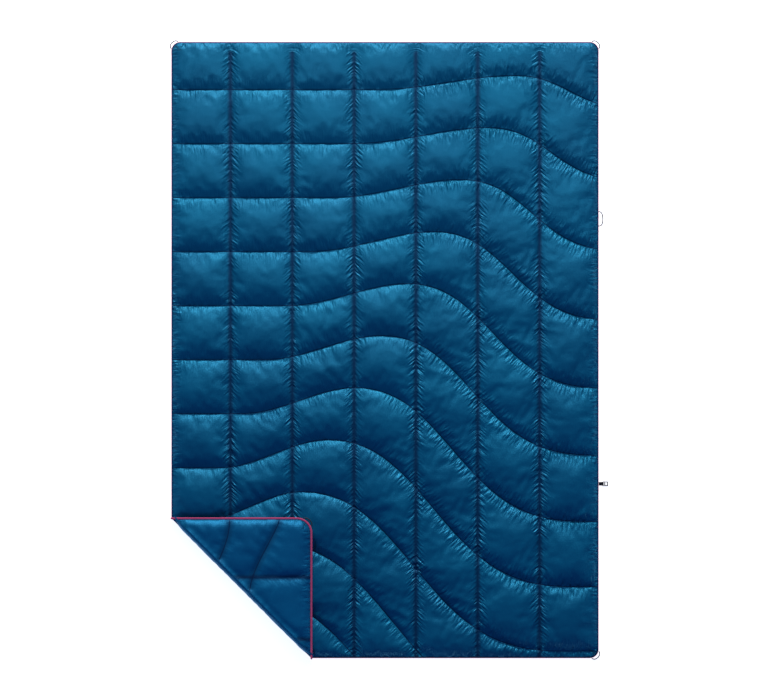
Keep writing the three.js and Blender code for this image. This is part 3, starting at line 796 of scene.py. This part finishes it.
# A cord or a tape along a path, with its length in u and the way round in v
def swept(name, path, section, up=(0, 0, 1), shape=None):
    path = np.array(path, dtype=float)
    ahead = np.gradient(path, axis=0)
    ahead /= np.linalg.norm(ahead, axis=1)[:, None]
    ups = np.broadcast_to(np.asarray(up, dtype=float), path.shape)
    side = np.cross(ahead, ups)
    side /= np.linalg.norm(side, axis=1)[:, None]
    ups = np.cross(side, ahead)
    lengths = np.concatenate([[0], np.cumsum(np.linalg.norm(np.diff(path, axis=0), axis=1))])
    section = np.array(section)
    count = len(section)
    rings = section[None, :, :] * np.ones((len(path), 1, 1))
    if shape is not None:
        rings = shape(rings, lengths)
    points = path[:, None, :] + side[:, None, :] * rings[:, :, :1] + ups[:, None, :] * rings[:, :, 1:]
    around = np.arange(count) / count
    uv = np.stack(np.broadcast_arrays(lengths[:, None], around[None, :]), axis=-1).reshape(-1, 2)
    faces = []
    for i in range(len(path) - 1):
        for j in range(count):
            k = (j + 1) % count
            faces.append((i * count + j, i * count + k, (i + 1) * count + k, (i + 1) * count + j))
    faces.append(tuple(range(count)))
    faces.append(tuple(reversed([(len(path) - 1) * count + j for j in range(count)])))
    piece = newPiece(name, points.reshape(-1, 3), faces, uv)
    faceOutwards(piece)
    return piece, float(lengths[-1])


def roundedBar(width, height, corner, steps=3):
    section = []
    for cx, cy, start in ((1, 1, 0), (-1, 1, 90), (-1, -1, 180), (1, -1, 270)):
        for step in range(steps):
            angle = math.radians(start + 90 * step / (steps - 1))
            section.append((cx * (width / 2 - corner) + corner * math.cos(angle),
                            cy * (height / 2 - corner) + corner * math.sin(angle)))
    return section


def circle(radius, sides):
    return [(radius * math.cos(2 * math.pi * k / sides), radius * math.sin(2 * math.pi * k / sides))
            for k in range(sides)]


# binding tape folded over the hem of the quilt and of the folded corner
piping = {"width": 0.006, "height": 0.0034, "corner": 0.0012, "spacing": 0.004, "lumps": 0.00022,
          "lumpRates": (0.0021, 0.013), "quiltZ": 0.0045, "flapZ": 0.0332}


def pipingShape(rings, lengths):
    fast, slow = piping["lumpRates"]
    lump = np.sin(lengths / fast) * np.sin(lengths / slow) * piping["lumps"]
    rings = rings.copy()
    rings[:, :, 1] += np.where(rings[:, :, 1] > 0, lump[:, None], 0)
    return rings


def hemPiping(name, layer, z, node, body):
    path = densify(hemPath(layer, piping["width"] / 2), piping["spacing"])
    path = [(x, y, z) for x, y in path]
    piece, length = swept(name, path, roundedBar(piping["width"], piping["height"], piping["corner"]),
                          shape=pipingShape)
    finishPiece(piece, pipingTape, body)
    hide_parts(node)


hemPiping("quiltPiping", "quilt", piping["quiltZ"], "edge_piping", "quilt")
hemPiping("flapPiping", "flap", piping["flapZ"], "flap_piping", "corner_flap")

# the same tape where it turns over at each end of the fold
pipingTurn = {"steps": 18, "width": 0.0056, "height": 0.0032, "corner": 0.0012, "out": (-0.001, -0.001),
              "lean": 0.2, "tuck": 0.8}


def pipingBend(name, low, high):
    out = np.array(pipingTurn["out"])
    middle = (np.array(low) + np.array(high)) / 2
    rise = (high[2] - low[2]) / 2
    path = []
    for step in range(pipingTurn["steps"] + 1):
        turn = -math.pi / 2 + math.pi * step / pipingTurn["steps"]
        mix = 0.5 + 0.5 * math.sin(turn)
        flat = np.array(low[:2]) * (1 - mix) + np.array(high[:2]) * mix + out * math.cos(turn)
        path.append((flat[0], flat[1], middle[2] + rise * math.sin(turn)))
    section = roundedBar(pipingTurn["width"], pipingTurn["height"], pipingTurn["corner"])
    piece, length = swept(name, path, section, up=(out[0], out[1], pipingTurn["lean"]))
    finishPiece(piece, pipingTape)
    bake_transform(piece)


half = piping["width"] / 2
tuck = half * pipingTurn["tuck"]
pipingBend("pipingBendLeft", (-halfWidth + half, flapHigh[1] - tuck, piping["quiltZ"]),
           (-halfWidth + tuck, flapHigh[1] - half, piping["flapZ"]))
pipingBend("pipingBendFoot", (flapHigh[0] - tuck, -halfLength + half, piping["quiltZ"]),
           (flapHigh[0] - half, -halfLength + tuck, piping["flapZ"]))
print("piping made")

# stitches: one small tapered grain each, laid end to end in the seam
stitches = {"pitch": 0.004, "length": 0.0032, "width": 0.0008, "height": 0.0005, "inset": 0.004,
            "start": 0.0005, "foldGap": 0.004, "ease": 0.008, "lift": 0.0001, "wrap": 0.001,
            "seamStep": 0.006}


def stitchRow(name, paths, body, nodes=()):
    grain = []
    for t, wide in ((0, 0.35), (0.3, 1), (0.7, 1), (1, 0.35)):
        for a, b in ((1, 0), (0, 1), (-1, 0), (0, -0.4)):
            grain.append((t, a * wide / 2, b * wide))
    grain = np.array(grain)
    faces = [(r * 4 + j, r * 4 + (j + 1) % 4, r * 4 + 4 + (j + 1) % 4, r * 4 + 4 + j)
             for r in range(3) for j in range(4)] + [(3, 2, 1, 0), (12, 13, 14, 15)]
    allPoints, allFaces = [], []
    for path in paths:
        path = np.array(path)
        lengths = np.concatenate([[0], np.cumsum(np.linalg.norm(np.diff(path, axis=0), axis=1))])
        for begin in np.arange(stitches["start"], lengths[-1] - stitches["length"], stitches["pitch"]):
            ends = [np.array([np.interp(s, lengths, path[:, k]) for k in range(3)])
                    for s in (begin, begin + stitches["length"])]
            ahead = ends[1] - ends[0]
            side = np.array([-ahead[1], ahead[0], 0]) / math.hypot(ahead[0], ahead[1])
            base = len(allPoints) * len(grain)
            allPoints.append(ends[0] + grain[:, :1] * ahead + grain[:, 1:2] * side * stitches["width"]
                             + grain[:, 2:] * np.array([0, 0, stitches["height"]]))
            allFaces.extend([tuple(base + i for i in face) for face in faces])
    points = np.concatenate(allPoints)
    lay = np.column_stack([grain[:, 0] * stitches["length"], grain[:, 1] * stitches["wrap"]])
    uv = np.tile(lay, (len(allPoints), 1))
    piece = newPiece(name, points, [face[::-1] for face in allFaces], uv)
    faceOutwards(piece)
    finishPiece(piece, quiltThread, body)
    if nodes:
        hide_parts(*nodes)


def seamRow(kind, number, path, layer, body, plan):
    prefix = "flap_" if layer == "flap" else ""
    ending = f"{number:02d}" if kind == "wave" else str(number)
    node = f"{prefix}{kind}_stitch_{ending}"
    if node not in nodeNames:
        return
    x, y = np.array(path).T
    if layer == "flap":
        x, y = overFold(x, y)
    hem, hemAlong, crease = edgeField(layer, x, y)
    flange, foldEdge = plan["flangeZ"], plan["foldEdgeZ"]
    z = flange + (plan[kind + "Z"] - flange) * ramp(hem, plan["flange"], plan["flange"] + stitches["ease"])
    z = foldEdge + (z - foldEdge) * ramp(crease, plan["fold"], plan["fold"] + stitches["ease"])
    keep = (hem > stitches["inset"]) & (crease > plan["fold"] + stitches["foldGap"])
    route = np.column_stack([x, y, z + stitches["lift"]])[keep]
    title = f"{kind}Stitch{ending}" if layer == "quilt" else f"flap{kind.capitalize()}Stitch{ending}"
    stitchRow(title, [route], body, [node])


hemStitching = {"step": 0.005, "quilt": {"z": 0.00745, "inset": 0.0052, "fold": 0.006},
                "flap": {"z": flapBackPlan["flangeZ"] + 0.0002, "inset": 0.0078, "fold": 0.016}}


def hemStitches(name, layer, z, inset, fold, body):
    path = densify(hemPath(layer, inset, fold), hemStitching["step"])
    stitchRow(name, [[(x, y, z) for x, y in path]], body)


for kind, number, path in seamPaths(stitches["seamStep"]):
    seamRow(kind, number, path, "quilt", "quilt", faceCoverPlan)
    seamRow(kind, number, path, "flap", "corner_flap", flapBackPlan)
hemStitches("quiltHemStitch", "quilt", *hemStitching["quilt"].values(), "quilt")
hemStitches("flapHemStitch", "flap", *hemStitching["flap"].values(), "corner_flap")
print("stitches made")

# cord loops: the route of each, from hem back to hem
loops = {"diameter": 0.003, "bulge": 0.0085, "shoulder": 0.7, "footGap": 0.0018, "quiltAngle": 32,
         "flapAngle": 20, "capeReach": 0.013, "capeSpan": 0.044, "capeFromHead": 0.547, "capeGap": 0.0003,
         "capeDroop": 0.003, "strands": 0.00012, "sides": 16, "steps": 22}


def catmull(points, steps):
    points = [np.array(p, dtype=float) for p in points]
    ends = [2 * points[0] - points[1]] + points + [2 * points[-1] - points[-2]]
    path = []
    for i in range(len(points) - 1):
        p0, p1, p2, p3 = ends[i:i + 4]
        t1 = math.sqrt(np.linalg.norm(p1 - p0))
        t2 = t1 + math.sqrt(np.linalg.norm(p2 - p1))
        t3 = t2 + math.sqrt(np.linalg.norm(p3 - p2))
        for step in range(steps):
            t = t1 + (t2 - t1) * step / steps
            a1 = (t1 - t) / t1 * p0 + t / t1 * p1
            a2 = (t2 - t) / (t2 - t1) * p1 + (t - t1) / (t2 - t1) * p2
            a3 = (t3 - t) / (t3 - t2) * p2 + (t - t2) / (t3 - t2) * p3
            b1 = (t2 - t) / t2 * a1 + t / t2 * a2
            b2 = (t3 - t) / (t3 - t1) * a2 + (t - t1) / (t3 - t1) * a3
            path.append((t2 - t) / (t2 - t1) * b1 + (t - t1) / (t2 - t1) * b2)
    return np.array(path + [points[-1]])


def braidShape(rings, lengths):
    count = rings.shape[1]
    around = np.arange(count)[None, :] / count
    laid = lengths[:, None] / braid["pitch"]
    crossing = np.abs(np.sin(2 * math.pi * (laid + around * 2)) * np.sin(2 * math.pi * (laid - around * 2)))
    return rings * (1 - loops["strands"] / loops["diameter"] * 2 * (1 - crossing))[:, :, None]


def cordLoop(name, route, body, node):
    path = catmull(route, loops["steps"])
    piece, length = swept(name, path, circle(loops["diameter"] / 2, loops["sides"]), shape=braidShape)
    finishPiece(piece, cordBraid, body)
    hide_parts(node)
    print(name, "length", round(length, 4))


def cornerRoute(cornerX, cornerY, radius, turn, halfAngle, z):
    out = math.radians(turn)
    inwards = math.sqrt(2) * radius
    centre = (cornerX - inwards * math.cos(out), cornerY - inwards * math.sin(out))
    footRadius = radius + loops["footGap"]
    topRadius = radius + loops["bulge"]
    along = footRadius * math.sin(math.radians(halfAngle))
    foot = footRadius * math.cos(math.radians(halfAngle))
    shoulder = foot + (topRadius - foot) * loops["shoulder"]
    profile = [(foot, along), (shoulder, along * loops["shoulder"]), (topRadius, 0),
               (shoulder, -along * loops["shoulder"]), (foot, -along)]
    return [(centre[0] + reach * math.cos(out) - aside * math.sin(out),
             centre[1] + reach * math.sin(out) + aside * math.cos(out), z) for reach, aside in profile]


quiltCorner = outlines["quilt"]["corner"]
for name, node, x, y, turn in (("loopTopLeft", "corner_loop_top_left", -halfWidth, halfLength, 135),
                               ("loopTopRight", "corner_loop_top_right", halfWidth, halfLength, 45),
                               ("loopFootRight", "corner_loop_bottom_right", halfWidth, -halfLength, -45)):
    cordLoop(name, cornerRoute(x, y, quiltCorner, turn, loops["quiltAngle"], piping["quiltZ"]), "quilt", node)
flapRoute = cornerRoute(flapHigh[0], flapHigh[1], outlines["flap"]["corner"], 45, loops["flapAngle"],
                        piping["flapZ"])
cordLoop("loopFlap", flapRoute, "corner_flap", "flap_corner_loop")
# reach out from the hem, place along it and droop, each as a part of its whole
capeProfile = [(0, 1, 0), (0.2, 1, 0), (0.6, 0.88, 0.5), (0.92, 0.48, 0.95), (1, 0, 1),
               (0.92, -0.48, 0.95), (0.6, -0.88, 0.5), (0.2, -1, 0), (0, -1, 0)]
capeRoute = [(halfWidth + loops["capeGap"] + reach * loops["capeReach"],
              halfLength - loops["capeFromHead"] + aside * loops["capeSpan"] / 2,
              piping["quiltZ"] - loops["capeDroop"] * droop) for reach, aside, droop in capeProfile]
cordLoop("capeLoop", capeRoute, "cape_loop", "cape_loop")
print("cord loops made")


# clip, gate and strap: the frame's own solids, merged and with softened edges
hardware = {"edge": 0.0003, "strapEdge": 0.00018, "segments": 3, "bevelAngle": 40, "flatAngle": 2,
            "merge": 1e-6}


def softened(name, node, material, body, edge):
    source = bpy.data.objects[node]
    piece = bpy.data.objects.new(name, source.data.copy())
    bpy.context.collection.objects.link(piece)
    work = bmesh.new()
    work.from_mesh(piece.data)
    bmesh.ops.remove_doubles(work, verts=work.verts, dist=hardware["merge"])
    bmesh.ops.dissolve_limit(work, angle_limit=math.radians(hardware["flatAngle"]), verts=work.verts,
                             edges=work.edges)
    work.to_mesh(piece.data)
    work.free()
    only(piece)
    bevel = piece.modifiers.new("edge", "BEVEL")
    bevel.width = edge
    bevel.segments = hardware["segments"]
    bevel.limit_method = "ANGLE"
    bevel.angle_limit = math.radians(hardware["bevelAngle"])
    bevel.use_clamp_overlap = True
    bpy.ops.object.modifier_apply(modifier="edge")
    finishPiece(piece, material, body)
    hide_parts(node)


softened("clipBody", "clip_body", clipPlastic, "snap_clip", hardware["edge"])
softened("clipGate", "clip_gate", clipPlastic, "clip_gate", hardware["edge"])
softened("clipStrap", "clip_webbing", strapWeave, "clip_strap", hardware["strapEdge"])
print("clip made")

# stage, light and camera
studio = {
    "floorSize": 30, "floorZ": -0.0003, "floorGlow": 0.9,
    "worldColour": (0.15, 0.34, 1.0, 1), "worldStrength": 0.28,
    "sunStrength": 2.9, "sunElevation": 18, "sunSoftness": 5,
    "over": {"place": (0.0, 1.1, 1.7), "aim": (0.0, 0.9, 0.0), "size": (2.8, 0.7), "power": 16},
    "viewHeight": 6.6, "viewWidth": 2.382, "lens": 100.0,
}


def stage():
    bpy.ops.object.select_all(action="DESELECT")
    bpy.ops.mesh.primitive_plane_add(size=studio["floorSize"], location=(0, 0, studio["floorZ"]))
    floor = bpy.context.object
    floor.name = "floor"
    paper = Finish("paper", Roughness=0.9, Specular_IOR_Level=0.1, Base_Color=(0.97, 0.97, 0.97, 1),
                   Emission_Color=(1, 1, 1, 1), Emission_Strength=studio["floorGlow"])
    floor.data.materials.append(paper.material)


def lights():
    sun = bpy.data.objects.new("sun", bpy.data.lights.new("sun", "SUN"))
    sun.data.energy = studio["sunStrength"]
    sun.data.angle = math.radians(studio["sunSoftness"])
    tilt = math.radians(studio["sunElevation"])
    sun.rotation_euler = Vector((0, -math.cos(tilt), -math.sin(tilt))).to_track_quat("-Z", "Y").to_euler()
    bpy.context.collection.objects.link(sun)
    plan = studio["over"]
    over = bpy.data.objects.new("over", bpy.data.lights.new("over", "AREA"))
    over.data.shape = "RECTANGLE"
    over.data.size, over.data.size_y = plan["size"]
    over.data.energy = plan["power"]
    over.location = plan["place"]
    over.rotation_euler = (Vector(plan["aim"]) - Vector(plan["place"])).to_track_quat("-Z", "Y").to_euler()
    bpy.context.collection.objects.link(over)
    world = bpy.data.worlds.new("room")
    world.use_nodes = True
    world.node_tree.nodes["Background"].inputs[0].default_value = studio["worldColour"]
    world.node_tree.nodes["Background"].inputs[1].default_value = studio["worldStrength"]
    bpy.context.scene.world = world
    bpy.context.scene.view_settings.view_transform = "Standard"


def viewpoint():
    data = bpy.data.cameras.new("viewpoint")
    data.lens = studio["lens"]
    data.sensor_width = studio["lens"] * studio["viewWidth"] / studio["viewHeight"]
    camera = bpy.data.objects.new("viewpoint", data)
    camera.location = (0.0, 0.0, studio["viewHeight"])
    bpy.context.collection.objects.link(camera)
    bpy.context.scene.camera = camera


stage()
lights()
viewpoint()
print("stage set")
